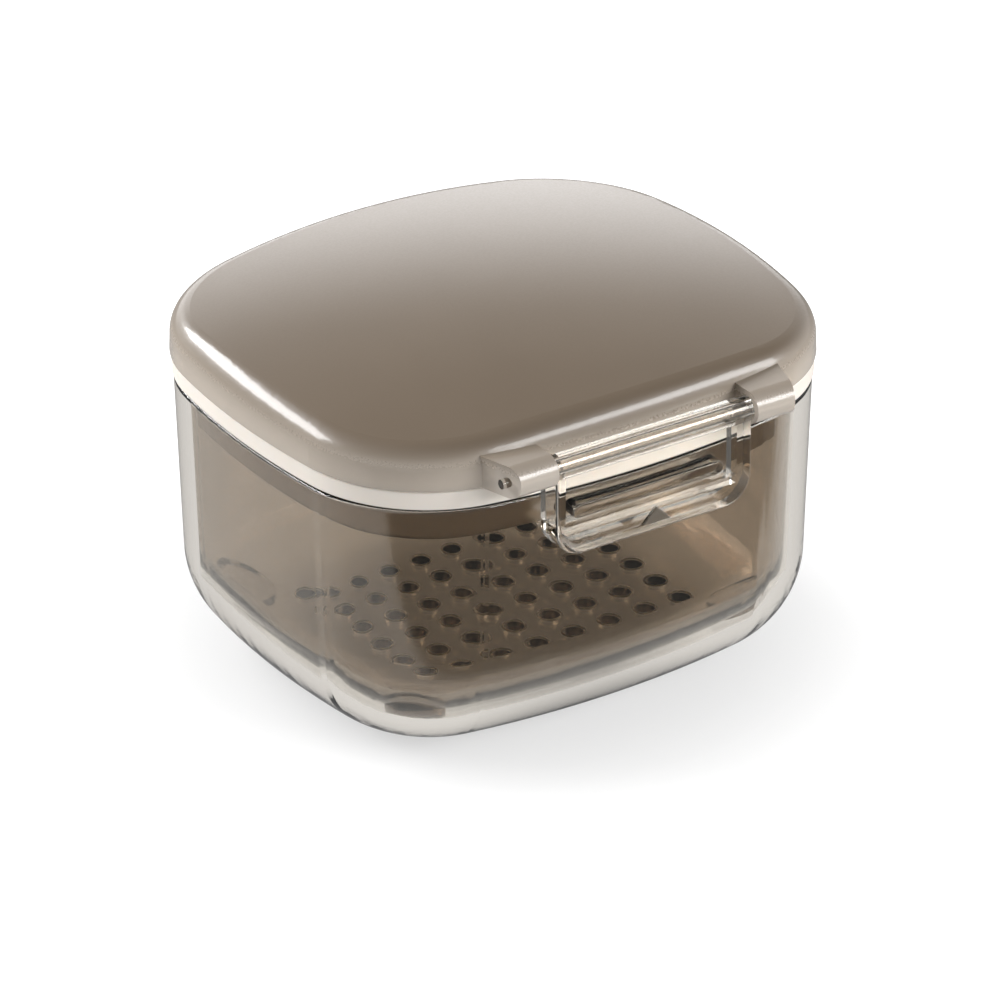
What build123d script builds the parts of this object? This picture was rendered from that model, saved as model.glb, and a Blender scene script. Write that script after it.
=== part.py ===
from build123d import *
import os
from math import atan2, degrees, sqrt

# Retainer cleaning case: clear outer case, drain basket, hinged lid with a seal, and a front latch.
# Millimetres. The origin is the centre of the flat base, +Z is up and the latch faces -Y.

# Plan of the case, measured at the seal
case_width = 84.4
case_depth = 74.0
corner_radius = 21.5
side_bulge = 0.9
front_bulge = 1.7

# Outer case
rim_height = 42.2
case_setback = 0.3
case_wall = 2.3
case_floor = 2.4
wall_draft = 1.8
base_radius = 14.9
rim_round = 0.5

# Drain basket
basket_gap = 0.5
basket_wall = 1.2
basket_floor = 1.8
basket_lift = 1.7
basket_drop = 0.7
basket_rim_round = 0.3
hole_diameter = 3.0
hole_pitch_x = 6.1
hole_pitch_y = 5.95
holes_along_x = 8
holes_along_y = 6
foot_diameter = 8.6
foot_spacing_x = 55.0
foot_spacing_y = 43.4
foot_clearance = 0.15

# Lid
lid_height = 10.6
lid_overhang = 0.2
lid_wall = 2.0
skirt_draft = 2.0
dome_radius = 220.0
shoulder_radius = 3.7
lid_edge_round = 0.3
plug_gap = 0.35
plug_wall = 1.6
plug_depth = 6.0
plug_draft = 3.0

# Seal ring
seal_height = 3.2
seal_setback = 0.1
seal_gap = 0.25
seal_fit = 0.1
seal_rib_height = 1.6
seal_round = 0.4
bead_width = 0.8
bead_gap = 0.05

# Latch
latch_width = 32.6
latch_hang = 8.2
latch_plate = 1.5
latch_side_wall = 2.0
latch_lip = 1.2
latch_corner_radius = 4.5
latch_wall_gap = 0.35
latch_edge_round = 0.5
pivot_rise = 2.5
barrel_radius = 1.9
barrel_gap = 0.4
arrow_width = 4.8
arrow_height = 2.4
arrow_relief = 0.25
arrow_rise = 0.4

# Catch on the case and hook on the latch
catch_length = 25.2
catch_height = 2.2
catch_reach = 1.9
catch_drop = 2.4
catch_round = 0.4
catch_gap = 0.55
hook_height = 1.3
hook_play = 0.4
hook_wall_gap = 0.35

# Latch lugs on the lid
lug_radius = 2.4
lug_gap = 0.3
lug_length = 6.2
lug_slant = 2.6

# Rear hinge
hinge_rise = 1.0
hinge_gap = 0.4
knuckle_radius = 2.1
lid_knuckle_length = 16.0
case_knuckle_length = 7.0
knuckle_gap = 0.3
bracket_drop = 6.5
arm_rise = 3.4

# Pins
latch_pin_radius = 0.7
latch_pin_show = 1.8
latch_pin_recess = 0.4
hinge_pin_radius = 0.8
hinge_pin_recess = 0.2
running_clearance = 0.06
seat_clearance = 0.02

# Levels
lid_edge = rim_height + seal_height
lid_top = lid_edge + lid_height
plug_bottom = rim_height - plug_depth
basket_base = case_floor + basket_lift
basket_top = rim_height - basket_drop
pivot_height = lid_edge + pivot_rise
hinge_height = rim_height + hinge_rise
catch_middle = rim_height - catch_drop
hook_top = catch_middle - catch_height / 2 - hook_play
latch_bottom = rim_height - latch_hang

# Insets from the plan, from the outside in
case_inner = case_setback + case_wall
basket_outer = case_inner + basket_gap
basket_inner = basket_outer + basket_wall
plug_outer = basket_inner + plug_gap
plug_inner = plug_outer + plug_wall

# Places in front of and behind the middle of the case
half_width = case_width / 2
half_depth = case_depth / 2
corner_x = half_width - corner_radius - side_bulge
corner_y = half_depth - corner_radius - front_bulge
side_radius = ((corner_radius + side_bulge) ** 2 + corner_y**2 - corner_radius**2) / (2 * side_bulge)
front_radius = ((corner_radius + front_bulge) ** 2 + corner_x**2 - corner_radius**2) / (2 * front_bulge)
case_front = half_depth - case_setback
catch_front = case_front + catch_reach
plate_back = catch_front + catch_gap
plate_front = plate_back + latch_plate
side_wall_x = latch_width / 2 - latch_side_wall
front_sag = front_radius - sqrt(front_radius**2 - side_wall_x**2)
latch_back = half_depth - front_sag + latch_wall_gap
pivot_y = -(half_depth + barrel_gap + barrel_radius)
hinge_y = half_depth + hinge_gap + knuckle_radius
lug_start = latch_width / 2 + lug_gap
lug_end = lug_start + lug_length
lug_bottom = pivot_height - lug_radius
lug_top = pivot_height + lug_radius
knuckle_start = lid_knuckle_length / 2 + knuckle_gap
knuckle_end = knuckle_start + case_knuckle_length


def outline(inset, height):
    """Plan of the case at a height: four corner arcs joined by slightly bowed sides."""
    side_turn = degrees(atan2(corner_y, corner_x - half_width + side_radius))
    corner_turn = degrees(atan2(corner_y - half_depth + front_radius, corner_x))
    with BuildSketch(Plane.XY.offset(height)) as plan:
        with BuildLine() as quarter:
            CenterArc((half_width - side_radius, 0), side_radius - inset, 0, side_turn)
            CenterArc((corner_x, corner_y), corner_radius - inset, side_turn, corner_turn - side_turn)
            CenterArc((0, half_depth - front_radius), front_radius - inset, corner_turn, 90 - corner_turn)
            mirror(quarter.line, about=Plane.YZ)
            mirror(quarter.line, about=Plane.XZ)
        make_face()
    return plan.sketch


def tub(inset, bottom, top):
    """Solid tub form with drafted sides and a rounded base edge, parallel to the outer case."""
    with BuildPart() as form:
        extrude(outline(inset, top), amount=bottom - top, taper=wall_draft)
        base_edges = form.faces().sort_by(Axis.Z)[0].edges()
        fillet(base_edges, base_radius + case_setback - inset)
    return form.part


def crown(inset):
    """Solid pillow form of the lid: drafted skirt, domed top and a soft shoulder between them."""
    with BuildPart() as form:
        extrude(outline(inset - lid_overhang, lid_edge), amount=lid_height, taper=skirt_draft)
        with Locations((0, 0, lid_top - dome_radius)):
            Sphere(dome_radius - inset, mode=Mode.INTERSECT)
        dome = form.faces().filter_by(GeomType.SPHERE)
        fillet(dome.edges(), shoulder_radius - inset)
    return form.part


def ring(outer_inset, inner_inset, bottom, top):
    """Upright band that follows the plan between two insets."""
    with BuildPart() as band:
        extrude(outline(outer_inset, bottom), amount=top - bottom)
        extrude(outline(inner_inset, bottom), amount=top - bottom, mode=Mode.SUBTRACT)
    return band.part


def cross_pin(radius, left_length, right_length, y, height):
    """Straight round pin along X, measured to both sides of the middle."""
    with BuildPart() as pin:
        with BuildSketch(Plane.YZ.offset(-left_length)):
            with Locations((y, height)):
                Circle(radius)
        extrude(amount=left_length + right_length)
    return pin.part


def case_knuckle():
    """One knuckle of the rear hinge, on a bracket that dies into the back wall."""
    root = case_front - case_wall
    with BuildPart() as knuckle:
        with BuildSketch(Plane.YZ.offset(knuckle_start)):
            with BuildLine():
                Polyline(
                    (root, rim_height),
                    (hinge_y - knuckle_radius, rim_height),
                    (hinge_y - knuckle_radius, hinge_height),
                    (hinge_y + knuckle_radius, hinge_height),
                    (root, rim_height - bracket_drop),
                    close=True,
                )
            make_face()
            with Locations((hinge_y, hinge_height)):
                Circle(knuckle_radius)
        extrude(amount=case_knuckle_length)
    return knuckle.part


def make_case_box():
    """Clear outer case with the catch bar on its front wall and the hinge knuckles behind."""
    outside = tub(case_setback, 0, rim_height)
    inside = tub(case_inner, case_floor, rim_height)
    knuckle = case_knuckle()
    with BuildPart() as case_box:
        add(outside)
        rim_edges = case_box.faces().sort_by(Axis.Z)[-1].edges()
        fillet(rim_edges, rim_round)
        with BuildSketch(Plane.XZ.offset(case_front - case_wall)):
            with Locations((0, catch_middle)):
                SlotOverall(catch_length, catch_height)
        extrude(amount=case_wall + catch_reach)
        catch_edges = case_box.faces().sort_by(Axis.Y)[0].edges()
        fillet(catch_edges, catch_round)
        add(knuckle)
        mirror(knuckle, about=Plane.YZ)
        add(inside, mode=Mode.SUBTRACT)
        with Locations(Location((0, hinge_y, hinge_height), (0, 90, 0))):
            Hole(hinge_pin_radius + seat_clearance)
    return case_box.part


def make_drain_basket():
    """Basket that lines the case, with a grid of drain holes and four round feet on its corners."""
    outside = tub(basket_outer, basket_base, basket_top)
    inside = tub(basket_inner, basket_base + basket_floor, basket_top)
    foot_form = tub(case_inner + foot_clearance, case_floor + foot_clearance, basket_top)
    with BuildPart() as feet:
        with GridLocations(foot_spacing_x, foot_spacing_y, 2, 2):
            Cylinder(foot_diameter / 2, base_radius, align=(Align.CENTER, Align.CENTER, Align.MIN))
        add(foot_form, mode=Mode.INTERSECT)
    with BuildPart() as drain_basket:
        add(outside)
        add(feet.part)
        add(inside, mode=Mode.SUBTRACT)
        rim_edges = drain_basket.faces().sort_by(Axis.Z)[-1].edges()
        fillet(rim_edges, basket_rim_round)
        with GridLocations(hole_pitch_x, hole_pitch_y, holes_along_x, holes_along_y):
            Hole(hole_diameter / 2)
    return drain_basket.part


def latch_lug():
    """One lug of the lid that holds an end of the latch pin, with a slanted outer end."""
    root = -(half_depth - lid_wall - lug_radius)
    with BuildPart() as lug:
        with BuildSketch(Plane.YZ.offset(lug_start)):
            with BuildLine():
                Polyline(
                    (root, lug_bottom),
                    (pivot_y, lug_bottom),
                    (pivot_y, lug_top),
                    (root, lug_top),
                    close=True,
                )
            make_face()
            with Locations((pivot_y, pivot_height)):
                Circle(lug_radius)
        extrude(amount=lug_length + lug_slant)
        with BuildSketch(Plane.XY.offset(rim_height)):
            with BuildLine():
                Polyline(
                    (0, 2 * pivot_y),
                    (lug_end, 2 * pivot_y),
                    (lug_end, pivot_y - lug_radius),
                    (lug_end + lug_slant, root),
                    (lug_end + lug_slant, 0),
                    (0, 0),
                    close=True,
                )
            make_face()
        extrude(amount=lid_top - rim_height, mode=Mode.INTERSECT)
    return lug.part


def lid_plug():
    """Plug ring under the lid that reaches into the basket; its upper end sinks into the lid wall."""
    with BuildPart() as plug:
        extrude(outline(plug_outer, lid_edge), amount=lid_height)
        add(crown(lid_wall / 2), mode=Mode.INTERSECT)
        extrude(outline(plug_outer, lid_edge), amount=plug_bottom - lid_edge, taper=plug_draft)
        extrude(outline(plug_inner, plug_bottom), amount=lid_top - plug_bottom, mode=Mode.SUBTRACT)
    return plug.part


def make_lid_shell():
    """Frosted lid with its plug ring, the two latch lugs in front and the hinge knuckle behind."""
    outside = crown(0)
    inside = crown(lid_wall)
    lug = latch_lug()
    plug = lid_plug()
    arm_root = half_depth - lid_wall
    with BuildPart() as lid_shell:
        add(outside)
        skirt_edges = lid_shell.faces().sort_by(Axis.Z)[0].edges()
        fillet(skirt_edges, lid_edge_round)
        add(lug)
        mirror(lug, about=Plane.YZ)
        # Arm that reaches over the seal and down to the hinge line
        with BuildSketch(Plane.YZ.offset(-lid_knuckle_length / 2)):
            with BuildLine():
                Polyline(
                    (arm_root, lid_edge),
                    (hinge_y - knuckle_radius, lid_edge),
                    (hinge_y - knuckle_radius, hinge_height),
                    (hinge_y + knuckle_radius, hinge_height),
                    (hinge_y + knuckle_radius, lid_edge),
                    (hinge_y, lid_edge + arm_rise),
                    (arm_root, lid_edge + arm_rise),
                    close=True,
                )
            make_face()
            with Locations((hinge_y, hinge_height)):
                Circle(knuckle_radius)
        extrude(amount=lid_knuckle_length)
        add(inside, mode=Mode.SUBTRACT)
        add(plug)
        with Locations(Location((0, pivot_y, pivot_height), (0, 90, 0))):
            Hole(latch_pin_radius + seat_clearance)
        with Locations(Location((0, hinge_y, hinge_height), (0, 90, 0))):
            Hole(hinge_pin_radius + running_clearance)
    return lid_shell.part


def make_seal_ring():
    """Soft seal: a band flush with the skirt, a rib held in the lid and a bead that meets the rim."""
    band_bottom = rim_height + seal_gap
    band = ring(seal_setback, plug_outer - seal_fit, band_bottom, lid_edge)
    bead_outer = case_setback + (case_wall - bead_width) / 2
    bead = ring(bead_outer, bead_outer + bead_width, rim_height + bead_gap, band_bottom)
    with BuildPart() as seal_ring:
        add(band)
        bottom_edges = seal_ring.faces().sort_by(Axis.Z)[0].outer_wire().edges()
        top_edges = seal_ring.faces().sort_by(Axis.Z)[-1].outer_wire().edges()
        fillet(bottom_edges + top_edges, seal_round)
        rib_outer = lid_wall - lid_overhang + seal_fit
        extrude(outline(rib_outer, lid_edge), amount=seal_rib_height, taper=skirt_draft)
        extrude(outline(plug_outer - seal_fit, lid_edge), amount=seal_rib_height, mode=Mode.SUBTRACT)
        add(bead)
    return seal_ring.part


def make_latch():
    """Clear latch: a barrel on the pin, a front plate with side walls and lip, and the hook bar."""
    height = pivot_height - latch_bottom
    pocket_height = height - latch_lip
    with BuildPart() as latch:
        with BuildSketch(Plane.XZ.offset(latch_back)) as block:
            with Locations((0, latch_bottom)):
                Rectangle(latch_width, height, align=(Align.CENTER, Align.MIN))
            fillet(block.vertices().group_by(Axis.Y)[0], latch_corner_radius)
        extrude(amount=plate_front - latch_back)
        front_edges = latch.faces().sort_by(Axis.Y)[0].edges()
        fillet(front_edges, latch_edge_round)
        # Pocket behind the plate, which the catch bar enters
        with BuildSketch(Plane.XZ.offset(latch_back)) as pocket:
            with Locations((0, latch_bottom + latch_lip)):
                Rectangle(2 * side_wall_x, pocket_height, align=(Align.CENTER, Align.MIN))
            fillet(pocket.vertices().group_by(Axis.Y)[0], latch_corner_radius - latch_side_wall)
        extrude(amount=plate_back - latch_back, mode=Mode.SUBTRACT)
        # Hook bar under the catch
        with BuildSketch(Plane.XZ.offset(case_front + hook_wall_gap)):
            with Locations((0, hook_top)):
                Rectangle(latch_width - latch_side_wall, hook_height, align=(Align.CENTER, Align.MAX))
        extrude(amount=plate_back - case_front - hook_wall_gap + latch_plate / 2)
        # Barrel on the pin
        with BuildSketch(Plane.YZ.offset(-latch_width / 2)):
            with Locations((pivot_y, pivot_height)):
                Circle(barrel_radius)
        extrude(amount=latch_width)
        # Raised arrow that points up at the opening
        with BuildSketch(Plane.XZ.offset(plate_front)):
            with BuildLine():
                Polyline(
                    (-arrow_width / 2, latch_bottom + latch_lip + arrow_rise),
                    (arrow_width / 2, latch_bottom + latch_lip + arrow_rise),
                    (0, latch_bottom + latch_lip + arrow_rise + arrow_height),
                    close=True,
                )
            make_face()
        extrude(amount=arrow_relief)
        with Locations(Location((0, pivot_y, pivot_height), (0, 90, 0))):
            Hole(latch_pin_radius + running_clearance)
    return latch.part


def save(part, name):
    """Label a finished piece and write its file."""
    part.label = name
    export_step(part, f"parts/{name}.step")


os.makedirs("parts", exist_ok=True)
save(make_case_box(), "case_box")
save(make_drain_basket(), "drain_basket")
save(make_lid_shell(), "lid_shell")
save(make_seal_ring(), "seal_ring")
save(make_latch(), "latch")
latch_pin_left = lug_end + latch_pin_show
latch_pin_right = lug_end - latch_pin_recess
save(cross_pin(latch_pin_radius, latch_pin_left, latch_pin_right, pivot_y, pivot_height), "latch_pin")
hinge_pin_half = knuckle_end - hinge_pin_recess
save(cross_pin(hinge_pin_radius, hinge_pin_half, hinge_pin_half, hinge_y, hinge_height), "hinge_pin")
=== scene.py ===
import math
import bmesh
import bpy
from mathutils import Matrix, Vector


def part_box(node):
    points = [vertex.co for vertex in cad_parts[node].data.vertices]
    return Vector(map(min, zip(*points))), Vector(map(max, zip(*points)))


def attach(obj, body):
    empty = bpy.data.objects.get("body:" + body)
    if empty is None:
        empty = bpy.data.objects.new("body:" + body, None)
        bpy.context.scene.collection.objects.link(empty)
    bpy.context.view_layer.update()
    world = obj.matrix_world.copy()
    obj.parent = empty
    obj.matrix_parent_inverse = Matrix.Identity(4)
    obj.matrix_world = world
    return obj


# Retainer cleaning case: the looks of its seven pieces. Lengths in metres, angles in degrees.
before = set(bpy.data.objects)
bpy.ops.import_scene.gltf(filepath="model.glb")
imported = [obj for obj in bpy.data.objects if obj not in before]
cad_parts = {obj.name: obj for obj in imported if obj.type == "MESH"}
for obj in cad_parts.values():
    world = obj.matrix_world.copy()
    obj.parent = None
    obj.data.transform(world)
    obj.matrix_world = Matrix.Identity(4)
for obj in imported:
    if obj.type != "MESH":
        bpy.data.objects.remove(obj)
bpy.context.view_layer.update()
MM = 0.001

# Camera, fitted to the photograph
image_size = 1000
focal_pixels = 7489.0
sensor = 36.0
clip_near = 0.01
clip_far = 20.0
camera_azimuth = -33.33
camera_elevation = 27.56
camera_roll = -0.2
camera_distance = 1067 * MM
target = Vector((0, 0, 31.5 * MM))
target_pixel = (493.3, 433.8)

# Lamps
lamp_distance = 1.6
lamp_aim = Vector((0, 0, 30 * MM))

# World: a soft fill for matt surfaces, and a sky and a bright backdrop for the shiny ones
fill_light = 0.4
sky_low = 0.8
sky_high = 0.10
sky_low_end = 0.20
sky_high_start = 0.70
backdrop_azimuth = 27.0
backdrop_elevation = 0.0
backdrop_edge = 0.84
backdrop_glow = 1.85

# Floor as camera and matt surfaces see it: real shadow and painted shade close to the case, plain
# white further out
floor_size = 6.0
floor_drop = 0.2 * MM
floor_tone = 0.30
floor_glow = 0.58
bounce_glow = 0.5
shade_radius = 30 * MM
white_radius = 80 * MM

# Floor as gloss and clear plastic see it: painted shadow under the base, and a painted dark reflection
# in front
gloss_glow = 0.32
through_glow = 0.80
base_radius = 20 * MM
clear_radius = 37 * MM
under_share = 0.42
dark_reflection_start = -46 * MM
dark_reflection_full = -54 * MM
dark_reflection_fade = -108 * MM
dark_reflection_end = -140 * MM
dark_reflection_glow = 0.16

# Rims of the drain holes, placed from the basket's upper edge
hole_columns = 8
hole_rows = 6
hole_pitch_x = 6.1 * MM
hole_pitch_y = 5.95 * MM
hole_radius = 1.5 * MM
basket_depth = 35.6 * MM
rim_wire = 0.16 * MM
rim_steps = 28
wire_steps = 8
_, basket_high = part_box("drain_basket")
rim_radius = hole_radius + rim_wire
rim_level = basket_high.z - basket_depth + rim_wire

# Cap of the raised arrow, placed from the latch's lower edge and front
arrow_width = 4.8 * MM
arrow_height = 2.4 * MM
arrow_rise = 1.6 * MM
arrow_relief = 0.25 * MM
arrow_bevel = 0.12 * MM
cap_inset = 0.0094 * MM
corner_pull = 2.0
latch_low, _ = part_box("latch")
arrow_base = latch_low.z + arrow_rise
arrow_back = latch_low.y + cap_inset + arrow_relief

# Uneven gloss and flow relief of the moulded plastics
plastic_ior = 1.5
patch_low = 0.3
patch_high = 0.7
gloss_patch = 9 * MM
gloss_spread = 0.01
flow_size = 7 * MM

# Lid: crown, skirt and lugs. The skirt's paler colour is painted light from the cream seal behind it;
# the lugs are paler still
skirt_end = 45.5 * MM
crown_start = 52.0 * MM
lug_root = 36.6 * MM
lug_fade = 1.2 * MM
crown_colour_dark = (0.142, 0.107, 0.074)
crown_colour_light = (0.162, 0.124, 0.088)
cloud_size = 18 * MM
skirt_painted_light_colour = (0.88, 0.78, 0.67)
lug_colour = (0.96, 0.87, 0.77)
crown_roughness = 0.36
crown_spread = 0.03
skirt_roughness = 0.12
crown_clear = 0.10
skirt_clear = 0.50
crown_grain = 0.35 * MM
crown_grain_detail = 3.0
grain_low = 0.35
grain_high = 0.65
crown_relief = 0.002 * MM
crown_relief_strength = 0.4
lid_coat = 0.5
lid_coat_roughness = 0.10
lid_tint = (0.62, 0.54, 0.46)
lid_density = 60.0

# Silicone seal
silicone_ior = 1.41
seal_colour = (0.80, 0.745, 0.68)
seal_shade = (0.76, 0.705, 0.64)
seal_patch = 6 * MM
seal_grain = 0.25 * MM
seal_smoothest = 0.38
seal_roughest = 0.5
seal_relief = 0.01 * MM
seal_relief_strength = 0.3
seal_scatter = 0.2
seal_scatter_reach = (1.0, 0.7, 0.5)
seal_scatter_depth = 1.0 * MM

# Light paths: enough bounces to pass every clear wall, and a limit on bright specks
clear_bounces = 32
gloss_bounces = 12
speck_limit = 4.0

# Places of the colour sockets on a Mix node
mix_first = 6
mix_second = 7
mix_result = 2


def make_camera():
    """Camera at the photograph's viewing angle, turned so that the target falls on its pixel."""
    azimuth = math.radians(camera_azimuth)
    elevation = math.radians(camera_elevation)
    back = Vector((
        math.sin(azimuth) * math.cos(elevation),
        -math.cos(azimuth) * math.cos(elevation),
        math.sin(elevation),
    ))
    right = Vector((math.cos(azimuth), math.sin(azimuth), 0))
    up = back.cross(right)
    place = target + back * camera_distance
    off_right = (target_pixel[0] - image_size / 2) / focal_pixels * camera_distance
    off_up = (image_size / 2 - target_pixel[1]) / focal_pixels * camera_distance
    aim = target - right * off_right - up * off_up
    data = bpy.data.cameras.new("camera")
    data.sensor_width = sensor
    data.lens = focal_pixels * sensor / image_size
    data.clip_start = clip_near
    data.clip_end = clip_far
    camera = bpy.data.objects.new("camera", data)
    bpy.context.scene.collection.objects.link(camera)
    turn = (aim - place).to_track_quat("-Z", "Y").to_matrix()
    roll = Matrix.Rotation(math.radians(camera_roll), 3, "Z")
    camera.matrix_world = Matrix.Translation(place) @ (turn @ roll).to_4x4()
    bpy.context.scene.camera = camera


def new_material(name):
    """Empty node material with its node tree and output."""
    material = bpy.data.materials.new(name)
    material.use_nodes = True
    tree = material.node_tree
    tree.nodes.clear()
    output = tree.nodes.new("ShaderNodeOutputMaterial")
    return material, tree, output


def link(tree, source, target_socket):
    """Join two sockets."""
    tree.links.new(source, target_socket)


def calculate(tree, operation, first, second):
    """Math node; each side is a socket or a number."""
    node = tree.nodes.new("ShaderNodeMath")
    node.operation = operation
    for place, value in enumerate((first, second)):
        if isinstance(value, (int, float)):
            node.inputs[place].default_value = value
        else:
            link(tree, value, node.inputs[place])
    return node.outputs[0]


def ramp(tree, value, start, end, low=0.0, high=1.0):
    """Smooth step of a value from low at start to high at end."""
    node = tree.nodes.new("ShaderNodeMapRange")
    node.interpolation_type = "SMOOTHSTEP"
    node.inputs["From Min"].default_value = start
    node.inputs["From Max"].default_value = end
    node.inputs["To Min"].default_value = low
    node.inputs["To Max"].default_value = high
    link(tree, value, node.inputs["Value"])
    return node.outputs["Result"]


def blend_colours(tree, amount, first, second):
    """Colour between two colours; each is a socket or three numbers."""
    node = tree.nodes.new("ShaderNodeMix")
    node.data_type = "RGBA"
    link(tree, amount, node.inputs["Factor"])
    for place, value in ((mix_first, first), (mix_second, second)):
        if isinstance(value, tuple):
            node.inputs[place].default_value = (*value, 1)
        else:
            link(tree, value, node.inputs[place])
    return node.outputs[mix_result]


def object_axes(tree):
    """Object coordinates, whole and split."""
    place = tree.nodes.new("ShaderNodeTexCoord").outputs["Object"]
    split = tree.nodes.new("ShaderNodeSeparateXYZ")
    link(tree, place, split.inputs[0])
    return place, split.outputs


def noise(tree, place, size, detail=2.0):
    """Noise whose features are about this size."""
    node = tree.nodes.new("ShaderNodeTexNoise")
    node.inputs["Scale"].default_value = 1 / size
    node.inputs["Detail"].default_value = detail
    link(tree, place, node.inputs["Vector"])
    return node.outputs["Fac"]


def bump(tree, height, depth, strength=1.0):
    """Surface relief of a depth in metres."""
    node = tree.nodes.new("ShaderNodeBump")
    node.inputs["Distance"].default_value = depth
    node.inputs["Strength"].default_value = strength
    link(tree, height, node.inputs["Height"])
    return node.outputs["Normal"]


def principled(tree, output, ior, transmission=0.0):
    """Main shader, joined to the output."""
    shader = tree.nodes.new("ShaderNodeBsdfPrincipled")
    shader.inputs["IOR"].default_value = ior
    shader.inputs["Transmission Weight"].default_value = transmission
    link(tree, shader.outputs["BSDF"], output.inputs["Surface"])
    return shader


def absorb(tree, output, colour, density):
    """Tint that grows with the thickness of the plastic."""
    volume = tree.nodes.new("ShaderNodeVolumeAbsorption")
    volume.inputs["Color"].default_value = (*colour, 1)
    volume.inputs["Density"].default_value = density
    link(tree, volume.outputs["Volume"], output.inputs["Volume"])


def clear_material(name, colour, tint, density, relief, roughness=0.0, transmission=1.0):
    """Moulded clear plastic with a faint flow relief and slightly uneven gloss."""
    material, tree, output = new_material(name)
    shader = principled(tree, output, plastic_ior, transmission)
    shader.inputs["Base Color"].default_value = (*colour, 1)
    place, _ = object_axes(tree)
    gloss = noise(tree, place, gloss_patch)
    uneven = ramp(tree, gloss, patch_low, patch_high, roughness, roughness + gloss_spread)
    link(tree, uneven, shader.inputs["Roughness"])
    flow = noise(tree, place, flow_size)
    link(tree, bump(tree, flow, relief), shader.inputs["Normal"])
    absorb(tree, output, tint, density)
    return material


def lid_material():
    """Smoke plastic of the lid: satin on the crown, clearer and glossier on the skirt and the lugs.
    The skirt's pale colour is painted light, as from the cream seal showing through it, and the lugs
    are paler still.
    """
    material, tree, output = new_material("frosted_plastic")
    shader = principled(tree, output, plastic_ior)
    place, (_, along_y, height) = object_axes(tree)
    crown = ramp(tree, height, skirt_end, crown_start)
    forward = calculate(tree, "MULTIPLY", along_y, -1.0)
    lug = ramp(tree, forward, lug_root, lug_root + lug_fade)
    grain = noise(tree, place, crown_grain, crown_grain_detail)
    cloud = noise(tree, place, cloud_size)
    mottled = blend_colours(tree, cloud, crown_colour_dark, crown_colour_light)
    # Painted light: the skirt is coloured paler, as if lit by the cream seal behind it, and the lugs
    # paler still
    skirt = blend_colours(tree, lug, skirt_painted_light_colour, lug_colour)
    link(tree, blend_colours(tree, crown, skirt, mottled), shader.inputs["Base Color"])
    smoothest = crown_roughness - crown_spread
    roughest = crown_roughness + crown_spread
    rough = ramp(tree, grain, grain_low, grain_high, smoothest, roughest)
    crown_share = calculate(tree, "MULTIPLY", crown, rough)
    below = calculate(tree, "SUBTRACT", 1.0, crown)
    skirt_share = calculate(tree, "MULTIPLY", below, skirt_roughness)
    link(tree, calculate(tree, "ADD", crown_share, skirt_share), shader.inputs["Roughness"])
    clear_share = ramp(tree, crown, 0.0, 1.0, skirt_clear, crown_clear)
    link(tree, clear_share, shader.inputs["Transmission Weight"])
    relief = calculate(tree, "MULTIPLY", grain, crown)
    link(tree, bump(tree, relief, crown_relief, crown_relief_strength), shader.inputs["Normal"])
    shader.inputs["Coat Weight"].default_value = lid_coat
    shader.inputs["Coat Roughness"].default_value = lid_coat_roughness
    absorb(tree, output, lid_tint, lid_density)
    return material


def silicone_material():
    """Cream silicone with a fine matt grain."""
    material, tree, output = new_material("silicone")
    shader = principled(tree, output, silicone_ior)
    place, _ = object_axes(tree)
    tone = noise(tree, place, seal_patch)
    link(tree, blend_colours(tree, tone, seal_shade, seal_colour), shader.inputs["Base Color"])
    grain = noise(tree, place, seal_grain)
    rough = ramp(tree, grain, patch_low, patch_high, seal_smoothest, seal_roughest)
    link(tree, rough, shader.inputs["Roughness"])
    link(tree, bump(tree, grain, seal_relief, seal_relief_strength), shader.inputs["Normal"])
    shader.inputs["Subsurface Weight"].default_value = seal_scatter
    shader.inputs["Subsurface Radius"].default_value = seal_scatter_reach
    shader.inputs["Subsurface Scale"].default_value = seal_scatter_depth
    return material


def paint(node, material):
    """Give a CAD node one material."""
    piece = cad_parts[node]
    piece.data.materials.clear()
    piece.data.materials.append(material)


def add_piece(name, shape, body, material):
    """Extra piece made of a finished shape, which rides on a body and takes its finish from a slot."""
    bmesh.ops.recalc_face_normals(shape, faces=shape.faces)
    mesh = bpy.data.meshes.new(name)
    shape.to_mesh(mesh)
    shape.free()
    piece = bpy.data.objects.new(name, mesh)
    bpy.context.scene.collection.objects.link(piece)
    mesh.materials.append(material)
    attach(piece, body)


def add_rim(shape, middle):
    """Flat-lying ring of round wire about one drain hole."""
    sections = []
    for step in range(rim_steps):
        turn = 2 * math.pi * step / rim_steps
        outward = Vector((math.cos(turn), math.sin(turn), 0))
        section = []
        for wire_step in range(wire_steps):
            tilt = 2 * math.pi * wire_step / wire_steps
            offset = outward * (rim_radius + rim_wire * math.cos(tilt))
            rise = Vector((0, 0, rim_wire * math.sin(tilt)))
            section.append(shape.verts.new(middle + offset + rise))
        sections.append(section)
    for near, far in zip(sections, sections[1:] + sections[:1]):
        for wire_step in range(wire_steps):
            after = (wire_step + 1) % wire_steps
            face = shape.faces.new((near[wire_step], far[wire_step], far[after], near[after]))
            face.smooth = True


def make_hole_rims(material):
    """Fine rounded rim round each drain hole of the basket. Its pale, mostly matt plastic is a painted
    highlight standing in for glints on the holes' edges.
    """
    shape = bmesh.new()
    for column in range(hole_columns):
        for row in range(hole_rows):
            across = (column - (hole_columns - 1) / 2) * hole_pitch_x
            along = (row - (hole_rows - 1) / 2) * hole_pitch_y
            add_rim(shape, Vector((across, along, rim_level)))
    add_piece("hole_rims", shape, "case", material)


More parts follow.
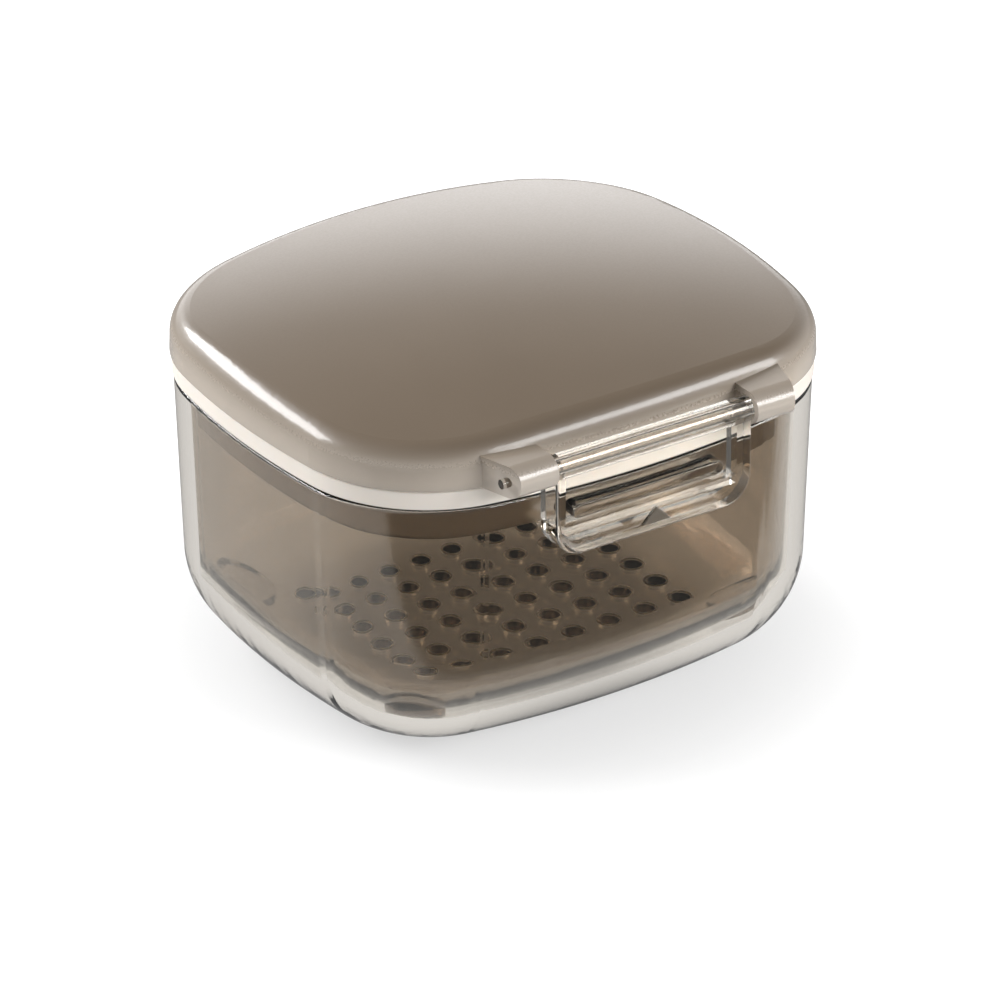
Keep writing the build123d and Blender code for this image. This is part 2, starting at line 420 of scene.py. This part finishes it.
def make_arrow(material):
    """Cap of the latch's raised arrow: straight sides and a bevel round its face."""
    shape = bmesh.new()
    arrow_tip = arrow_base + arrow_height
    corners = ((-arrow_width / 2, arrow_base), (arrow_width / 2, arrow_base), (0.0, arrow_tip))
    middle_height = (2 * arrow_base + arrow_tip) / len(corners)
    outline_steps = ((0.0, 0.0), (arrow_relief - arrow_bevel, 0.0), (arrow_relief, arrow_bevel))
    layers = []
    for depth, inset in outline_steps:
        layer = []
        for across, height in corners:
            away = Vector((across, 0, height - middle_height))
            # Near a corner both sides draw in, so it moves further than the bevel is wide
            scale = 1 - inset / away.length * corner_pull
            place = (across * scale, arrow_back - depth, middle_height + away.z * scale)
            layer.append(shape.verts.new(place))
        layers.append(layer)
    shape.faces.new(layers[0])
    shape.faces.new(layers[-1])
    for lower, upper in zip(layers, layers[1:]):
        for side in range(len(corners)):
            after = (side + 1) % len(corners)
            shape.faces.new((lower[side], lower[after], upper[after], upper[side]))
    add_piece("latch_arrow", shape, "latch", material)


def seen_ray(tree, *kinds):
    """1 for a ray of any of these kinds."""
    path = tree.nodes.new("ShaderNodeLightPath")
    seen = path.outputs[kinds[0]]
    for kind in kinds[1:]:
        seen = calculate(tree, "MAXIMUM", seen, path.outputs[kind])
    return seen


def shaded_floor(tree, reach):
    """Floor for the camera and matt surfaces: it takes the case's shadow, and its glow turns it plain
    white away from the case. Close to the case the glow is weaker, which paints extra shade round the
    base. Matt surfaces get only a share of the glow."""
    shade = tree.nodes.new("ShaderNodeBsdfDiffuse")
    shade.inputs["Color"].default_value = (floor_tone, floor_tone, floor_tone, 1)
    # Painted shade: the glow falls from plain white far out to floor_glow close to the case
    white = ramp(tree, reach, shade_radius, white_radius, floor_glow, 1.0)
    bounced = calculate(tree, "MULTIPLY", seen_ray(tree, "Is Diffuse Ray"), bounce_glow)
    seen = calculate(tree, "MAXIMUM", seen_ray(tree, "Is Camera Ray"), bounced)
    glow = tree.nodes.new("ShaderNodeEmission")
    link(tree, calculate(tree, "MULTIPLY", seen, white), glow.inputs["Strength"])
    lit = tree.nodes.new("ShaderNodeAddShader")
    link(tree, shade.outputs[0], lit.inputs[0])
    link(tree, glow.outputs[0], lit.inputs[1])
    return lit.outputs[0]


def mirrored_floor(tree, reach, along_y):
    """Floor for gloss and clear plastic: a plain level for each, with a painted shadow that darkens it
    under the base, and a painted dark reflection: a stretch in front of the case that they see darker."""
    # Painted dark reflection: gloss and clear plastic see the floor in front of the case darker
    near = ramp(tree, along_y, dark_reflection_full, dark_reflection_start, 1.0, 0.0)
    far = ramp(tree, along_y, dark_reflection_end, dark_reflection_fade)
    dark_reflection = calculate(tree, "MULTIPLY", near, far)
    front = ramp(tree, dark_reflection, 0.0, 1.0, 1.0, dark_reflection_glow)
    through = seen_ray(tree, "Is Transmission Ray")
    level = ramp(tree, through, 0.0, 1.0, gloss_glow, through_glow)
    # Painted shadow: the floor is darker under the base
    under = ramp(tree, reach, base_radius, clear_radius, under_share, 1.0)
    level = calculate(tree, "MULTIPLY", level, under)
    glow = tree.nodes.new("ShaderNodeEmission")
    link(tree, calculate(tree, "MULTIPLY", front, level), glow.inputs["Strength"])
    return glow.outputs[0]


def make_floor():
    """Pale floor just under the base, with its own look for each kind of ray."""
    bpy.ops.mesh.primitive_plane_add(size=floor_size, location=(0, 0, -floor_drop))
    floor = bpy.context.object
    floor.name = "floor"
    material, tree, output = new_material("floor_white")
    place, (_, along_y, _) = object_axes(tree)
    distance = tree.nodes.new("ShaderNodeVectorMath")
    distance.operation = "LENGTH"
    link(tree, place, distance.inputs[0])
    reach = distance.outputs["Value"]
    both = tree.nodes.new("ShaderNodeMixShader")
    link(tree, seen_ray(tree, "Is Glossy Ray", "Is Transmission Ray"), both.inputs["Fac"])
    link(tree, shaded_floor(tree, reach), both.inputs[1])
    link(tree, mirrored_floor(tree, reach, along_y), both.inputs[2])
    link(tree, both.outputs[0], output.inputs["Surface"])
    floor.data.materials.append(material)


def heading(azimuth, elevation):
    """Direction from the case, with azimuth 0 along +Y and 90 along +X."""
    turn = math.radians(azimuth)
    tilt = math.radians(elevation)
    return Vector((
        math.sin(turn) * math.cos(tilt),
        math.cos(turn) * math.cos(tilt),
        math.sin(tilt),
    ))


def make_world():
    """White for the camera, a plain soft fill for matt surfaces, and for gloss and clear plastic a sky
    that darkens overhead. Only gloss sees the bright backdrop behind the case."""
    world = bpy.data.worlds.new("studio")
    bpy.context.scene.world = world
    world.use_nodes = True
    tree = world.node_tree
    tree.nodes.clear()
    output = tree.nodes.new("ShaderNodeOutputWorld")
    background = tree.nodes.new("ShaderNodeBackground")
    background.inputs["Color"].default_value = (1, 1, 1, 1)
    direction = tree.nodes.new("ShaderNodeTexCoord").outputs["Generated"]
    split = tree.nodes.new("ShaderNodeSeparateXYZ")
    link(tree, direction, split.inputs[0])
    sky = ramp(tree, split.outputs["Z"], sky_low_end, sky_high_start, sky_low, sky_high)
    toward = tree.nodes.new("ShaderNodeVectorMath")
    toward.operation = "DOT_PRODUCT"
    link(tree, direction, toward.inputs[0])
    toward.inputs[1].default_value = heading(backdrop_azimuth, backdrop_elevation)
    backdrop = ramp(tree, toward.outputs["Value"], backdrop_edge, 1.0, 0.0, backdrop_glow)
    camera = seen_ray(tree, "Is Camera Ray")
    diffuse = seen_ray(tree, "Is Diffuse Ray")
    gloss = calculate(tree, "SUBTRACT", seen_ray(tree, "Is Reflection Ray"), diffuse)
    backdrop = calculate(tree, "MULTIPLY", backdrop, calculate(tree, "MAXIMUM", gloss, 0.0))
    rest = calculate(tree, "SUBTRACT", 1.0, calculate(tree, "MAXIMUM", camera, diffuse))
    mirrored = calculate(tree, "ADD", calculate(tree, "MULTIPLY", sky, rest), backdrop)
    filled = calculate(tree, "MULTIPLY", diffuse, fill_light)
    strength = calculate(tree, "ADD", calculate(tree, "ADD", mirrored, filled), camera)
    link(tree, strength, background.inputs["Strength"])
    link(tree, background.outputs[0], output.inputs["Surface"])


def softbox(name, azimuth, elevation, width, height, radiance):
    """Rectangular lamp seen from the case in a direction, with its size as seen in degrees."""
    direction = heading(azimuth, elevation)
    data = bpy.data.lights.new(name, "AREA")
    data.shape = "RECTANGLE"
    data.size = 2 * lamp_distance * math.tan(math.radians(width / 2))
    data.size_y = 2 * lamp_distance * math.tan(math.radians(height / 2))
    data.energy = radiance * math.pi * data.size * data.size_y
    lamp = bpy.data.objects.new(name, data)
    bpy.context.scene.collection.objects.link(lamp)
    lamp.location = lamp_aim + direction * lamp_distance
    lamp.visible_camera = False
    lamp.rotation_euler = (-direction).to_track_quat("-Z", "Y").to_euler()


make_camera()
make_floor()
make_world()
softbox("left_strip", azimuth=-33.0, elevation=31.0, width=54.0, height=20.0, radiance=14.0)
softbox("front_strip", azimuth=143.0, elevation=26.0, width=50.0, height=20.0, radiance=10.0)

clear = clear_material(
    "clear_plastic",
    colour=(0.96, 0.94, 0.905),
    tint=(0.78, 0.70, 0.58),
    density=45.0,
    relief=0.008 * MM,
)
smoke = clear_material(
    "smoke_plastic",
    colour=(0.79, 0.73, 0.66),
    tint=(0.60, 0.55, 0.49),
    density=370.0,
    relief=0.003 * MM,
)
latch_clear = clear_material(
    "latch_plastic",
    colour=(1.0, 0.985, 0.955),
    tint=(0.80, 0.72, 0.60),
    density=30.0,
    relief=0.001 * MM,
)
pin_clear = clear_material(
    "pin_plastic",
    colour=(0.93, 0.90, 0.86),
    tint=(0.80, 0.70, 0.60),
    density=60.0,
    relief=0.005 * MM,
    roughness=0.04,
)
# Painted highlight: a pale, mostly matt copy of the smoke plastic makes the hole rims read as bright
# glints
rim_pale_glint = clear_material(
    "rim_glint_plastic",
    colour=(0.95, 0.88, 0.78),
    tint=(0.70, 0.62, 0.52),
    density=80.0,
    relief=0.002 * MM,
    roughness=0.05,
    transmission=0.15,
)
arrow_frost = clear_material(
    "arrow_plastic",
    colour=(0.17, 0.145, 0.115),
    tint=(0.60, 0.52, 0.44),
    density=120.0,
    relief=0.004 * MM,
    roughness=0.35,
    transmission=0.30,
)
paint("case_box", clear)
paint("drain_basket", smoke)
paint("lid_shell", lid_material())
paint("seal_ring", silicone_material())
paint("latch", latch_clear)
paint("latch_pin", pin_clear)
paint("hinge_pin", pin_clear)
make_hole_rims(rim_pale_glint)
make_arrow(arrow_frost)

# Light that passes the clear latch would otherwise be lost on the seal behind it
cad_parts["latch"].visible_shadow = False

scene = bpy.context.scene
scene.view_settings.view_transform = "Standard"
scene.cycles.max_bounces = clear_bounces
scene.cycles.transmission_bounces = clear_bounces
scene.cycles.glossy_bounces = gloss_bounces
scene.cycles.transparent_max_bounces = clear_bounces
scene.cycles.sample_clamp_indirect = speck_limit
